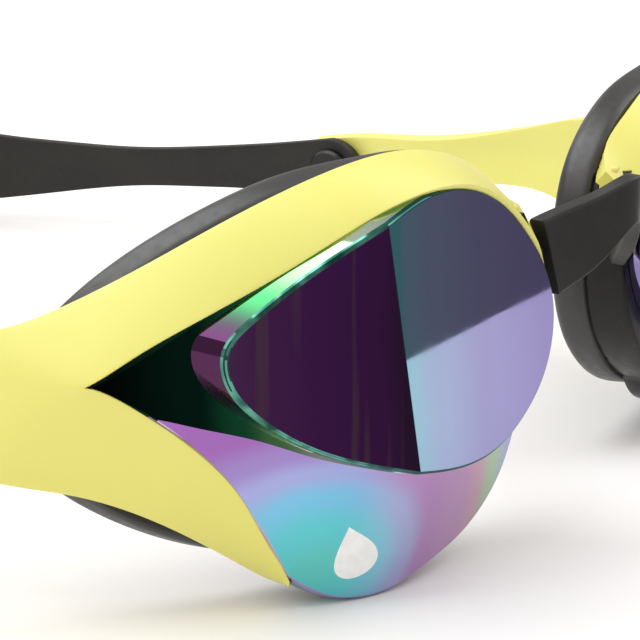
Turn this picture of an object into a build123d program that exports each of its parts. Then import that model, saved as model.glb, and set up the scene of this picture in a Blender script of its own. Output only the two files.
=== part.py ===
from build123d import *
import copy
import math
import os

# Swim goggles, standing on their lenses and strap as they are put down on a flat surface.
# X runs across the face with the wearer's left at +X, Y runs from the lenses back to the
# strap and Z is up. The left side is drawn, and the right side is its mirror image.
# The drawings below count Y from just in front of the lenses. The row's own origin is on the
# ground under the middle of the goggles, and every part is moved there as it is written.

# ---- driving dimensions, mm ----
DEEP = 70.0
TALL = 60.0

# lens: a moulded shell with a flat two-faced screen that stands proud of a curved flange
LENS_WALL = 1.8
SCREEN_WALL = 1.8
FLANGE_LEAN = 0.10
CHIN_RAKE = 0.22
CREASE_TOP = (43.0, 5.2, 43.4)
CREASE_BOTTOM = (39.9, 2.3, 15.3)
NOSE_EDGE = (11.5, 2.2, 27.0)
SCREEN_TIP = (58.6, 14.8, 30.1)

# frame: bands around the lens that run together into a side arm
ARM_THICK = 2.6
FRAME_REST = 0.4

# nose lug: the plate on each frame that the bridge plugs into
LUG_FRONT = 7.4
LUG_BACK = 9.8
LUG_INNER_X = 5.4
LUG_WIDTH = 9.5
LUG_LOW = 28.9
LUG_HEIGHT = 6.4
LUG_CORNER = 1.5
ROOT_WIDTH = 3.6
ROOT_TOP = 38.6

# carrier: hard ring between the lens and the gasket
CARRIER_WALL = 2.4
CARRIER_STEP = 1.2
CARRIER_REACH = 44.0
CARRIER_TOP = 38.0

# gasket: soft ring between the frame and the face
GASKET_DEPTH = 5.2
GASKET_WALL = 3.4

# bridge
BRIDGE_THICK = 2.2
PEG_R = 1.5
PEG_CLEARANCE = 0.05
PEG_X = 8.2
PEG_Z = 32.4
PEG_START = 5.0
PEG_PROUD = 0.3

# strap and its pivot in the arm's end
STRAP_THICK = 1.6
STRAP_GAP = 0.3
TAB_FRONT = 80.0
TAB_BACK = 104.0
TAB_NOSE = 5.4
TAIL_START = 24.0
FORK_Y = 151.0
FORK_Z = 9.5
PIVOT_Y = 87.5
PIVOT_Z = 15.4
PIVOT_R = 2.2
PIVOT_CLEARANCE = 0.05
ARM_END_X = 73.5
BUTTON_HEAD_R = 3.6
BUTTON_HEAD = 0.9
BUTTON_CHAMFER = 0.4
BUTTON_RECESS = 0.3

# rear clip
REAR_Y = 172.6
CLIP_HALF = 9.0
CLIP_WALL = 1.6
CLIP_CORNER = 2.0
CLIP_WINDOW_EDGE = 2.5
LOWER_BAND = (2.0, 7.6)
UPPER_BAND = (14.6, 20.2)
LAP_HALF = 13.0
LAP_GAP = 0.1

# ---- plan curves, left side, as (X, Y) ----
FLANGE_PLAN = [(8, 3.2), (20, 3.6), (30, 4.0), (38.5, 5.2), (44, 7.3), (49, 10.4), (54, 14.4),
               (58.5, 18.6), (62.5, 22.6), (66.5, 27.2), (70, 31.6)]
CHIN_PLAN = [(8, 2.0), (20, 2.5), (30, 2.8), (38.5, 4.0), (44, 6.7), (49, 10.5), (54, 15.3), (58.5, 20.1),
             (62.5, 24.6), (66.5, 29.2), (70, 33.6)]
SEAT_PLAN = [(4, 10.3), (14, 10.2), (22, 10.4), (30, 11.0), (38, 12.6), (44, 15.0), (50, 18.6), (55, 22.8),
             (60, 27.8), (64, 32.6), (67.3, 37.4), (70, 42.0)]
FLANGE_PLAN_Z = 27.0
CHIN_PLAN_Z = 15.5

# ---- front outlines, left side, as (X, Z) ----
LENS_TOP = [(66.0, 27.1), (58.0, 33.8), (44.6, 42.4), (34.0, 45.1), (24.0, 43.1), (15.4, 36.2), (11.6, 28.0),
            (14.0, 20.3), (19.4, 15.2)]
LENS_CHIN = [(19.4, 15.2), (20.4, 9.0), (24.5, 4.4), (33.0, 1.6), (41.5, 0.1), (46.5, 1.6), (49.6, 4.1)]
LENS_SIDE = [(49.6, 4.1), (52.4, 9.8), (56.9, 17.4), (61.4, 23.0), (66.0, 27.1)]
SCREEN_OUTLINE = [(43.0, 43.2), (34.0, 45.0), (24.0, 43.0), (15.5, 36.1), (11.7, 28.0), (14.1, 20.5),
                  (20.5, 15.4), (30.0, 13.6), (40.0, 15.3), (48.4, 18.3), (55.5, 23.5), (58.6, 29.6),
                  (55.4, 34.9)]
RIM_OUTLINE = [(64.8, 27.0), (57.2, 33.0), (44.2, 41.4), (34.0, 44.1), (24.4, 42.1), (16.2, 35.6),
               (12.6, 28.0), (14.8, 20.6), (19.8, 12.6), (25.2, 5.6), (33.2, 2.6), (41.5, 1.2),
               (48.6, 4.8), (55.6, 17.6)]
FACE_OUTLINE = [(65.2, 22.6), (62.6, 32.0), (55, 41), (45, 46.4), (33, 47.4), (20, 45.3), (11.2, 38),
                (9.1, 28), (12, 16.5), (22, 7.6), (36, 4.6), (50, 5.1), (59.3, 9.9), (64, 15.6)]

# ---- frame stations: (edge beside the lens, outer edge, inward thickness), all (X, Y, Z) ----
TOP_STATIONS = [
    ((13.2, 3.2, 33.2), (11.8, 10.0, 39.4), (1.4, 1.2, -1.2)),
    ((18.7, 3.9, 39.6), (17.5, 10.0, 43.5), (0.9, 1.2, -1.6)),
    ((25.2, 4.5, 43.7), (25.0, 10.3, 46.8), (0.3, 1.1, -1.9)),
    ((33.7, 5.2, 45.2), (33.9, 11.4, 48.2), (0.0, 1.0, -2.0)),
    ((41.5, 7.2, 43.9), (42.6, 14.1, 47.0), (-0.5, 1.1, -1.8)),
    ((50.1, 12.3, 39.0), (51.5, 19.6, 43.1), (-1.1, 1.2, -1.5)),
    ((57.7, 18.5, 34.0), (58.6, 26.2, 38.1), (-1.5, 1.2, -1.1)),
    ((63.4, 23.9, 29.6), (63.4, 31.7, 34.5), (-1.9, 1.1, -0.5)),
    ((66.9, 29.5, 25.2), (66.4, 36.0, 32.3), (-2.3, 0.8, 0.0)),
]
LOW_STATIONS = [
    ((49.6, 13.2, 4.1), (46.5, 16.0, 2.2), (-1.2, 0.9, 1.5)),
    ((51.6, 14.1, 8.0), (50.2, 18.5, 4.7), (-1.5, 0.9, 1.4)),
    ((54.5, 15.7, 14.0), (54.5, 22.2, 8.0), (-1.7, 0.9, 1.1)),
    ((58.2, 18.2, 19.4), (59.5, 27.0, 11.6), (-1.9, 0.9, 0.8)),
    ((62.6, 22.5, 24.6), (63.2, 31.6, 13.4), (-2.1, 1.0, 0.3)),
    ((66.9, 29.5, 27.0), (66.4, 36.0, 14.2), (-2.3, 0.8, 0.0)),
]
# arm stations: (outermost X, Y, lowest Z, highest Z)
ARM_STATIONS = [(70.0, 41.0, 15.6, 30.7), (71.9, 48.0, 17.4, 28.6), (73.2, 56.0, 17.5, 26.2),
                (73.5, 65.0, 16.2, 24.0), (73.5, 74.0, 14.0, 22.5), (73.5, 83.0, 11.0, 21.6),
                (73.5, 92.0, 9.9, 19.9)]
ARM_LAP = 0.3
ARM_CROWN = 0.9

# ---- strap side view, as (Y, Z) ----
STRAP_TOP_EDGE = [(88, 20.6), (98, 18.5), (112, 16.0), (126, 14.3), (138, 14.2), (148, 14.9), (168, 20.2)]
STRAP_LOW_EDGE = [(88, 10.2), (98, 10.6), (112, 9.4), (126, 7.9), (138, 5.8), (148, 4.1), (168, 2.0)]
FORK_LOW = [(160, 7.9), (168, 7.6)]
FORK_TOP = [(160, 12.4), (168, 14.6)]

# ---- bridge, as (X, Y) in plan and (X, Z) from the front, from the right end to the middle ----
BRIDGE_PLAN = [(-10.3, 4.9), (-8, 3.7), (-5, 1.3), (-2.5, -0.7), (0, -1.7)]
BRIDGE_TOP = [(-10.3, 36.8), (-6.9, 37.7), (-3.8, 38.8), (0, 39.7)]
BRIDGE_LOW = [(-8, 27.6), (-5.7, 29.4), (-3.1, 32.4), (0, 35.3)]


def prism(face):
    """A front outline run straight back through the whole depth."""
    return Solid.extrude(face, Vector(0, DEEP, 0))


def at_front(points):
    """Front outline points (X, Z) as 3-D points on the plane in front of the goggles."""
    return [(x, -5.0, z) for x, z in points]


def lens_outline():
    top = Spline(*at_front(LENS_TOP))
    chin = Spline(*at_front(LENS_CHIN))
    side = Spline(*at_front(LENS_SIDE))
    return Face(Wire([top, chin, side]))


def ring_outline(points):
    return Face(Wire([Spline(*at_front(points), periodic=True)]))


def set_back(points, amount):
    """The plan points moved along the curve's inward normal by amount."""
    moved = []
    last = len(points) - 1
    for i, (x, y) in enumerate(points):
        before = points[max(i - 1, 0)]
        after = points[min(i + 1, last)]
        dx = after[0] - before[0]
        dy = after[1] - before[1]
        length = math.hypot(dx, dy)
        moved.append((x - amount * dy / length, y + amount * dx / length))
    return moved


def set_in(points, amount):
    """The points of a closed outline moved inward by amount."""
    moved = []
    count = len(points)
    centre_x = sum(x for x, z in points) / count
    centre_z = sum(z for x, z in points) / count
    for i, (x, z) in enumerate(points):
        dx = points[(i + 1) % count][0] - points[i - 1][0]
        dz = points[(i + 1) % count][1] - points[i - 1][1]
        length = math.hypot(dx, dz)
        nx, nz = -dz / length, dx / length
        side = 1 if nx * (centre_x - x) + nz * (centre_z - z) > 0 else -1
        moved.append((x + side * amount * nx, z + side * amount * nz))
    return moved


def region_behind(plan, plan_z, rake, amount=0.0):
    """Everything behind a plan curve at height plan_z whose wall leans back by rake per mm of height."""
    points = set_back(plan, amount)
    base = plan_z - TALL
    shift = -rake * TALL
    flat = [(x, y + shift, base) for x, y in points]
    front = Spline(*flat)
    first = flat[0]
    last = flat[-1]
    far = DEEP + TALL
    line_a = Line(last, (last[0] + 30, far, base))
    line_b = Line((last[0] + 30, far, base), (first[0] - 30, far, base))
    line_c = Line((first[0] - 30, far, base), first)
    face = Face(Wire([front, line_a, line_b, line_c]))
    lean = Vector(0, rake, 1)
    return Solid.extrude(face, lean * (2 * TALL))


def region_behind_plane(a, b, c, amount=0.0):
    """A block behind the plane through three points, its face moved back by amount."""
    va = Vector(*a)
    normal = (Vector(*b) - va).cross(Vector(*c) - va).normalized()
    if normal.Y < 0:
        normal = -normal
    plane = Plane(origin=va + normal * amount, z_dir=normal)
    return plane * Box(300, 300, 100, align=(Align.CENTER, Align.CENTER, Align.MIN))


def lens_front(amount=0.0):
    """Everything behind the lens flange, moved back by amount."""
    upper = region_behind(FLANGE_PLAN, FLANGE_PLAN_Z, FLANGE_LEAN, amount)
    chin = region_behind(CHIN_PLAN, CHIN_PLAN_Z, -CHIN_RAKE, amount)
    return upper & chin


def screen_front(amount=0.0):
    """Everything behind the two flat faces of the screen, moved back by amount."""
    front = region_behind_plane(CREASE_TOP, CREASE_BOTTOM, NOSE_EDGE, amount)
    temple = region_behind_plane(CREASE_TOP, CREASE_BOTTOM, SCREEN_TIP, amount)
    return front & temple


def lens():
    outline = prism(lens_outline())
    screen = prism(ring_outline(SCREEN_OUTLINE))
    screen_inner = prism(ring_outline(set_in(SCREEN_OUTLINE, SCREEN_WALL)))
    outer = outline & (lens_front() + (screen & screen_front()))
    hollow = lens_front(LENS_WALL) + (screen_inner & screen_front(SCREEN_WALL))
    return outer - hollow


def band_section(near, far, inward):
    push = Vector(*inward)
    a = Vector(*near)
    b = Vector(*far)
    return Face(Wire.make_polygon([a, b, b + push, a + push]))


def arm_half(station, top):
    """Section of the upper or lower half of the arm: flat inside, leaning in outside from the middle."""
    x, y, low, high = station
    edge = high if top else low
    middle = (low + high) / 2 + (-ARM_LAP if top else ARM_LAP)
    inside = x - ARM_THICK
    corners = [(x, y, middle), (x - ARM_CROWN, y, edge), (inside, y, edge), (inside, y, middle)]
    return Face(Wire.make_polygon(corners))


def frame_band(stations, top):
    sections = [band_section(*station) for station in stations]
    sections += [arm_half(station, top) for station in ARM_STATIONS]
    return loft(sections)


def seat(amount=0.0):
    """Everything behind the frame's rear face, which the gasket is bonded to."""
    return region_behind(SEAT_PLAN, 0, 0, amount)


def lens_space():
    """The lens and all the room in front of it, cut out of the frame."""
    outline = prism(lens_outline())
    screen = prism(ring_outline(set_in(SCREEN_OUTLINE, SCREEN_WALL)))
    front = outline - lens_front(LENS_WALL)
    return front + (screen & screen_front() & outline)


def cross_bar(radius, x0, x1, y, z):
    """A round bar along X."""
    bar = Cylinder(radius, x1 - x0, align=(Align.CENTER, Align.CENTER, Align.MIN))
    return Pos(x0, y, z) * Rot(0, 90, 0) * bar


def depth_bar(radius, x, z, y0, y1):
    """A round bar along Y."""
    bar = Cylinder(radius, y1 - y0, align=(Align.CENTER, Align.CENTER, Align.MIN))
    return Pos(x, y1, z) * Rot(90, 0, 0) * bar


def nose_lug():
    """The plate with the peg hole, on a taller root that joins it to the upper band."""
    plate = Box(LUG_WIDTH, LUG_BACK - LUG_FRONT, LUG_HEIGHT, align=Align.MIN)
    plate = fillet(plate.edges().filter_by(Axis.Y), LUG_CORNER)
    root = Box(ROOT_WIDTH, LUG_BACK - LUG_FRONT, ROOT_TOP - LUG_LOW, align=Align.MIN)
    root = Pos(LUG_WIDTH - ROOT_WIDTH, 0, 0) * root
    return Pos(LUG_INNER_X, LUG_FRONT, LUG_LOW) * (plate + root)


def eye_opening():
    """The room that the eye looks through, clear of both the gasket's inner edge and the lens rim."""
    through_gasket = prism(ring_outline(set_in(FACE_OUTLINE, GASKET_WALL)))
    through_lens = prism(ring_outline(set_in(RIM_OUTLINE, CARRIER_WALL)))
    return through_gasket & through_lens


def frame():
    bands = frame_band(TOP_STATIONS, True) + frame_band(LOW_STATIONS, False)
    body = bands + nose_lug() - lens_space() - lens()
    body = body - depth_bar(PEG_R + PEG_CLEARANCE, PEG_X, PEG_Z, 0, 20)
    return body - cross_bar(PIVOT_R, ARM_END_X - 2 * ARM_THICK, ARM_END_X + ARM_THICK, PIVOT_Y, PIVOT_Z)


def carrier(frame_solid):
    """The hard ring behind the lens that carries the gasket; it is wider at the nose and below."""
    nose_half = Box(DEEP, 2 * DEEP, 2 * CARRIER_TOP, align=(Align.MAX, Align.CENTER, Align.CENTER))
    nose_half = Pos(CARRIER_REACH, 0, 0) * nose_half
    step = prism(ring_outline(set_in(FACE_OUTLINE, CARRIER_STEP))) & nose_half
    outline = prism(ring_outline(RIM_OUTLINE)) + step
    ring = outline & lens_front(LENS_WALL)
    ring = ring - seat(FRAME_REST) - eye_opening()
    return ring - frame_solid - lens()


def gasket(frame_solid):
    rim = prism(ring_outline(FACE_OUTLINE))
    ring = rim & (seat(FRAME_REST) - seat(FRAME_REST + GASKET_DEPTH))
    return ring - eye_opening() - frame_solid


def both_ways(points):
    """A curve drawn up to the middle, carried on to its mirror image."""
    return points + [(-x, other) for x, other in reversed(points[:-1])]


def bridge():
    """A bow-tie bar that arches forward over the nose, with a peg behind each end."""
    line = both_ways(BRIDGE_PLAN)
    front = Spline(*[(x, y, 0) for x, y in line])
    back = Spline(*[(x, y + BRIDGE_THICK, 0) for x, y in line])
    plan = Face(Wire([front, back, Line(front @ 0, back @ 0), Line(front @ 1, back @ 1)]))
    bar = Solid.extrude(plan, Vector(0, 0, TALL))
    top = Spline(*[(x, -DEEP, z) for x, z in both_ways(BRIDGE_TOP)])
    low = Spline(*[(x, -DEEP, z) for x, z in both_ways(BRIDGE_LOW)])
    side = Face(Wire([top, low, Line(top @ 0, low @ 0), Line(top @ 1, low @ 1)]))
    shape = bar & Solid.extrude(side, Vector(0, 2 * DEEP, 0))
    for x in (-PEG_X, PEG_X):
        shape += depth_bar(PEG_R, x, PEG_Z, PEG_START, LUG_BACK + PEG_PROUD)
    return shape


def strap_line(tab_x, rear):
    """Along the arm, a quarter ellipse, and straight across the back."""
    along = Line((tab_x, TAB_FRONT, 0), (tab_x, TAB_BACK, 0))
    middle = (TAIL_START, TAB_BACK, 0)
    bend = EllipticalCenterArc(middle, tab_x - TAIL_START, rear - TAB_BACK, 0, arc_size=90)
    across = Line((TAIL_START, rear, 0), (-LAP_HALF, rear, 0))
    return [along, bend, across]


def strap_ribbon(rear):
    """Plan view of a strap half, from its end tab to its tail in the rear clip."""
    tab_x = ARM_END_X - ARM_THICK - STRAP_GAP
    outside = strap_line(tab_x, rear)
    inside = strap_line(tab_x - STRAP_THICK, rear - STRAP_THICK)
    tab_end = Line((tab_x, TAB_FRONT, 0), (tab_x - STRAP_THICK, TAB_FRONT, 0))
    tail_end = Line((-LAP_HALF, rear, 0), (-LAP_HALF, rear - STRAP_THICK, 0))
    return Face(Wire([*outside, *inside, tab_end, tail_end]))


def at_side(points):
    """Points (Y, Z) drawn on the middle plane."""
    return [(0, y, z) for y, z in points]


def strap_side_view():
    """Side view of a strap half: tab and neck in one, then a fork into two bands."""
    nose = PIVOT_Y - TAB_NOSE
    top = STRAP_TOP_EDGE
    low = STRAP_LOW_EDGE
    far = REAR_Y + DEEP
    top_edge = Spline(*at_side(top), tangents=[(0, 1, -0.2), (0, 1, 0)])
    low_edge = Spline(*at_side(low), tangents=[(0, 1, -0.1), (0, 1, 0)])
    fork_low = Spline(*at_side([(FORK_Y, FORK_Z)] + FORK_LOW), tangents=[(0, 1, -0.15), (0, 1, 0)])
    fork_top = Spline(*at_side([(FORK_Y, FORK_Z)] + FORK_TOP), tangents=[(0, 1, 0.35), (0, 1, 0)])
    end_top = [top[-1], (far, top[-1][1]), (far, FORK_TOP[-1][1]), FORK_TOP[-1]]
    end_low = [FORK_LOW[-1], (far, FORK_LOW[-1][1]), (far, low[-1][1]), low[-1]]
    tab_end = ThreePointArc((0, *top[0]), (0, nose, PIVOT_Z), (0, *low[0]))
    upper_end = Polyline(*at_side(end_top)).edges()
    lower_end = Polyline(*at_side(end_low)).edges()
    edges = [tab_end, top_edge, *upper_end, fork_top, fork_low, *lower_end, low_edge]
    eyelet = Plane.YZ * Pos(PIVOT_Y, PIVOT_Z) * Circle(PIVOT_R + PIVOT_CLEARANCE)
    return Face(Wire(edges), [eyelet.wire()])


def strap(rear):
    """The left strap half. Its outer side reaches Y = rear at the back."""
    ribbon = Solid.extrude(strap_ribbon(rear), Vector(0, 0, TALL))
    view = Pos(-LAP_HALF - 1, 0, 0) * Solid.extrude(strap_side_view(), Vector(2 * DEEP, 0, 0))
    return ribbon & view


def strap_button():
    """Peg pressed into the arm's end, whose head keeps the strap's eyelet on."""
    head_face = ARM_END_X - ARM_THICK - 2 * STRAP_GAP - STRAP_THICK
    peg = cross_bar(PIVOT_R, head_face, ARM_END_X - BUTTON_RECESS, PIVOT_Y, PIVOT_Z)
    head = cross_bar(BUTTON_HEAD_R, head_face - BUTTON_HEAD, head_face, PIVOT_Y, PIVOT_Z)
    head = chamfer(head.edges().group_by(Axis.X)[0], BUTTON_CHAMFER)
    return peg + head


def rear_clip():
    """Sleeve that holds the four band ends together, with a window between the two slots."""
    inner_y = (REAR_Y - STRAP_THICK - STRAP_GAP, REAR_Y + LAP_GAP + STRAP_THICK + STRAP_GAP)
    height = UPPER_BAND[1] + STRAP_GAP + CLIP_WALL
    depth = inner_y[1] - inner_y[0]
    middle_y = sum(inner_y) / 2
    body = Box(2 * CLIP_HALF, depth + 2 * CLIP_WALL, height, align=(Align.CENTER, Align.CENTER, Align.MIN))
    body = fillet(body.edges().filter_by(Axis.Y), CLIP_CORNER)
    body = Pos(0, middle_y, 0) * body
    for low, high in (LOWER_BAND, UPPER_BAND):
        slot = Box(4 * CLIP_HALF, depth, high - low + 2 * STRAP_GAP)
        body -= Pos(0, middle_y, (low + high) / 2) * slot
    window_low = LOWER_BAND[1] + STRAP_GAP + CLIP_WALL
    window_high = UPPER_BAND[0] - STRAP_GAP - CLIP_WALL
    window = Box(2 * (CLIP_HALF - CLIP_WINDOW_EDGE), 4 * depth, window_high - window_low)
    return body - Pos(0, middle_y, (window_low + window_high) / 2) * window


def assembly():
    """Every sub-part by name: the left side, its mirror image, and the pieces in the middle."""
    side_frame = frame()
    side_parts = {
        "frame": side_frame,
        "lens": lens(),
        "lens_carrier": carrier(side_frame),
        "gasket": gasket(side_frame),
        "strap_button": strap_button(),
    }
    parts = {"left_" + name: shape for name, shape in side_parts.items()}
    parts.update({"right_" + name: mirror(shape, about=Plane.YZ) for name, shape in side_parts.items()})
    parts["nose_bridge"] = bridge()
    parts["left_strap"] = strap(REAR_Y)
    parts["right_strap"] = mirror(strap(REAR_Y + LAP_GAP + STRAP_THICK), about=Plane.YZ)
    parts["rear_clip"] = rear_clip()
    return parts


os.makedirs("parts", exist_ok=True)
parts = assembly()
whole = Compound(children=[copy.copy(shape) for shape in parts.values()]).bounding_box()
centre_y = (whole.min.Y + whole.max.Y) / 2
for name, shape in parts.items():
    export_step(Pos(0, -centre_y, 0) * shape, f"parts/{name}.step")
print("moved back by", round(-centre_y, 3), "size", whole.size)
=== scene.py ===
import math

import bmesh
import bpy
import numpy as np
from mathutils import Matrix, Vector
from mathutils.geometry import delaunay_2d_cdt


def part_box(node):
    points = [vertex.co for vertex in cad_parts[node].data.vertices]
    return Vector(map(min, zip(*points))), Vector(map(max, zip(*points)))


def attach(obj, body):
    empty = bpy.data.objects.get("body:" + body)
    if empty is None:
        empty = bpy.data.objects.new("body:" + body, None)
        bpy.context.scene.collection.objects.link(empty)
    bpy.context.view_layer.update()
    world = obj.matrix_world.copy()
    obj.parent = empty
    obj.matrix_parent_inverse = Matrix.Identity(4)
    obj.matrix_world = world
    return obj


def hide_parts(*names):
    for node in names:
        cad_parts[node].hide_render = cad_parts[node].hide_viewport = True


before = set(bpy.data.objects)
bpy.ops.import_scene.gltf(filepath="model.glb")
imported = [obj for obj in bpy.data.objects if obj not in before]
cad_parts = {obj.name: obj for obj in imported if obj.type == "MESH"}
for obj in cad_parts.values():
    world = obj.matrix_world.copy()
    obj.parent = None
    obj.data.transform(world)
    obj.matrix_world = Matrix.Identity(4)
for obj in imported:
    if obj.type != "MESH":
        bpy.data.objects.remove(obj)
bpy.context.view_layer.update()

# Swim goggles. Drawings are in millimetres with Y counted from just in front of the lenses, as
# in the CAD, and place() turns them into metres in the row frame. The left side is drawn, and
# the right side is its mirror image.
MM = 0.001
PIVOT_Y = 87.5
button_low, button_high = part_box("left_strap_button")
SHIFT_Y = (button_low[1] + button_high[1]) / 2 - PIVOT_Y * MM


def place(x, y, z):
    """A drawn point in millimetres as a point of the row frame in metres."""
    return Vector((x * MM, y * MM + SHIFT_Y, z * MM))


# ---------------------------------------------------------------- curves
def spline_points(points, count, closed=False):
    """A smooth curve through the points, by chord length, as count rows."""
    knots = np.array(points, float)
    if closed:
        knots = np.vstack([knots, knots[:1]])
    steps = np.maximum(np.linalg.norm(np.diff(knots, axis=0), axis=1), 1e-9)
    t = np.concatenate([[0], np.cumsum(steps)])
    size = len(knots)
    matrix = np.zeros((size, size))
    right = np.zeros((size, knots.shape[1]))
    slopes = np.diff(knots, axis=0) / steps[:, None]
    for i in range(1, size - 1):
        matrix[i, i - 1] = steps[i]
        matrix[i, i] = 2 * (steps[i - 1] + steps[i])
        matrix[i, i + 1] = steps[i - 1]
        right[i] = 3 * (steps[i] * slopes[i - 1] + steps[i - 1] * slopes[i])
    if closed:
        matrix[0, 0] = 2 * (steps[-1] + steps[0])
        matrix[0, 1] = steps[-1]
        matrix[0, size - 2] = steps[0]
        right[0] = 3 * (steps[0] * slopes[-1] + steps[-1] * slopes[0])
        matrix[-1, 0] = 1
        matrix[-1, -1] = -1
    else:
        matrix[0, 0], matrix[0, 1], right[0] = 2, 1, 3 * slopes[0]
        matrix[-1, -1], matrix[-1, -2], right[-1] = 2, 1, 3 * slopes[-1]
    tangents = np.linalg.solve(matrix, right)
    at = np.linspace(0, t[-1], count, endpoint=not closed)
    i = np.clip(np.searchsorted(t, at, side="right") - 1, 0, size - 2)
    h = steps[i][:, None]
    u = ((at - t[i]) / steps[i])[:, None]
    near = (1 + 2 * u) * (1 - u) ** 2 * knots[i] + u * (1 - u) ** 2 * h * tangents[i]
    return near + u ** 2 * (3 - 2 * u) * knots[i + 1] + u ** 2 * (u - 1) * h * tangents[i + 1]


class Plan:
    """A plan curve (X, Y) read as Y for a given X."""

    def __init__(self, points):
        dense = spline_points(points, 400)
        self.x, self.y = dense[:, 0], dense[:, 1]

    def __call__(self, x):
        return float(np.interp(x, self.x, self.y))


def moved_in(points, amount):
    """A closed outline (X, Z) moved inward by amount along its normals."""
    p = np.array(points)
    ahead, behind = np.roll(p, -1, axis=0), np.roll(p, 1, axis=0)
    d = ahead - behind
    n = np.stack([-d[:, 1], d[:, 0]], axis=1) / np.linalg.norm(d, axis=1)[:, None]
    area = np.sum(p[:, 0] * ahead[:, 1] - ahead[:, 0] * p[:, 1])
    return p + n * amount * (1 if area > 0 else -1)


# ---------------------------------------------------------------- drawing of the eyepiece
# plans (X, Y): of the upper flange, of the chin, and of the seat where the gasket begins
FLANGE_PLAN = Plan([(8, 3.2), (20, 3.6), (30, 4.0), (38.5, 5.2), (44, 7.3), (49, 10.4),
                    (54, 14.4), (58.5, 18.6), (62.5, 22.6), (66.5, 27.2), (70, 31.6)])
CHIN_PLAN = Plan([(8, 2.0), (20, 2.5), (30, 2.7), (38.5, 3.8), (44, 6.4), (49, 10.1),
                  (54, 14.9), (58.5, 19.65), (62.5, 24.1), (66.5, 28.7), (70, 33.1)])
SEAT_PLAN = Plan([(4, 10.3), (14, 10.2), (22, 10.4), (30, 11.0), (38, 12.6), (44, 15.0),
                  (50, 18.6), (55, 22.8), (60, 27.8), (64, 32.6), (67.3, 37.4), (70, 42.0)])
# how far each wall leans back per millimetre of height, and the height its plan is drawn at
FLANGE_LEAN, FLANGE_PLAN_Z = 0.10, 27.0
CHIN_RAKE, CHIN_PLAN_Z = 0.22, 15.5
# corners (X, Y, Z) of the two flat faces of the screen, which meet in the crease
CREASE_TOP = (43.0, 5.2, 43.4)
CREASE_BOTTOM = (39.9, 2.3, 15.3)
NOSE_EDGE = (11.5, 2.2, 27.0)
SCREEN_TIP = (58.6, 14.8, 30.1)

# outlines (X, Z): the lens in three runs, the screen in two, and the gasket's outer edge
LENS_TOP = [(66.0, 27.1), (58.0, 33.8), (44.6, 42.4), (34.0, 45.1), (24.0, 43.1), (15.4, 36.2),
            (11.6, 28.0), (14.0, 20.3), (19.4, 15.2)]
LENS_CHIN = [(19.4, 15.2), (20.4, 9.0), (24.5, 4.4), (33.0, 1.6), (41.5, 0.1), (46.5, 1.6), (49.6, 4.1)]
LENS_SIDE = [(49.6, 4.1), (52.4, 9.8), (56.9, 17.4), (61.4, 23.0), (66.0, 27.1)]
SCREEN_TEMPLE = [(43.0, 43.2), (51.0, 38.2), (55.9, 34.4), (58.3, 31.6), (58.2, 27.6), (55.5, 23.5),
                 (48.4, 18.3), (40.0, 15.2)]
SCREEN_FRONT = [(40.0, 15.2), (30.0, 13.6), (24.0, 14.2), (19.6, 16.0), (14.1, 20.6), (11.8, 28.0),
                (15.6, 36.0), (24.1, 42.9), (34.0, 44.9), (43.0, 43.2)]
FACE_OUTLINE = [(65.2, 22.6), (62.6, 32.0), (55, 41), (45, 46.4), (33, 47.4), (20, 45.3), (11.2, 38),
                (9.1, 28), (12, 16.5), (22, 7.6), (36, 4.6), (50, 5.1), (59.3, 9.9), (64, 15.6)]


def plane_depth(a, b, c):
    """Depth Y on the plane through three points, as a function of X and Z."""
    a, b, c = (np.array(p, float) for p in (a, b, c))
    n = np.cross(b - a, c - a)
    return lambda x, z: a[1] - (n[0] * (x - a[0]) + n[2] * (z - a[2])) / n[1]


front_face_depth = plane_depth(CREASE_TOP, CREASE_BOTTOM, NOSE_EDGE)
temple_face_depth = plane_depth(CREASE_TOP, CREASE_BOTTOM, SCREEN_TIP)


def upper_depth(x, z):
    return FLANGE_PLAN(x) + FLANGE_LEAN * (z - FLANGE_PLAN_Z)


def chin_depth(x, z):
    return CHIN_PLAN(x) - CHIN_RAKE * (z - CHIN_PLAN_Z)


def flange_depth(x, z):
    """Depth of the curved flange: an upper wall that leans back and a chin that tucks under."""
    return max(upper_depth(x, z), chin_depth(x, z))


def screen_depth(x, z):
    """Depth of the screen, whose two flat faces meet in the crease."""
    return max(front_face_depth(x, z), temple_face_depth(x, z))


# ---------------------------------------------------------------- mesh helpers
def new_object(name, mesh):
    piece = bpy.data.objects.new(name, mesh)
    bpy.context.scene.collection.objects.link(piece)
    return piece


def mesh_from(name, vertices, faces, mirrored=False, material_of=None):
    """A mesh of drawn points, mirrored to the right side with its faces turned to match."""
    side = -1 if mirrored else 1
    mesh = bpy.data.meshes.new(name)
    mesh.from_pydata([place(side * x, y, z) for x, y, z in vertices], [],
                     [tuple(reversed(f)) if mirrored else tuple(f) for f in faces])
    if material_of:
        for polygon, index in zip(mesh.polygons, material_of):
            polygon.material_index = index
    mesh.update()
    return mesh


def shade_smooth(piece, degrees=35):
    for polygon in piece.data.polygons:
        polygon.use_smooth = True
    piece.data.set_sharp_from_angle(angle=math.radians(degrees))


def finish_piece(piece, body, slot, materials, *nodes):
    for material in materials:
        piece.data.materials.append(material)
    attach(piece, body)
    if nodes:
        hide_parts(*nodes)
    return piece


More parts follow.
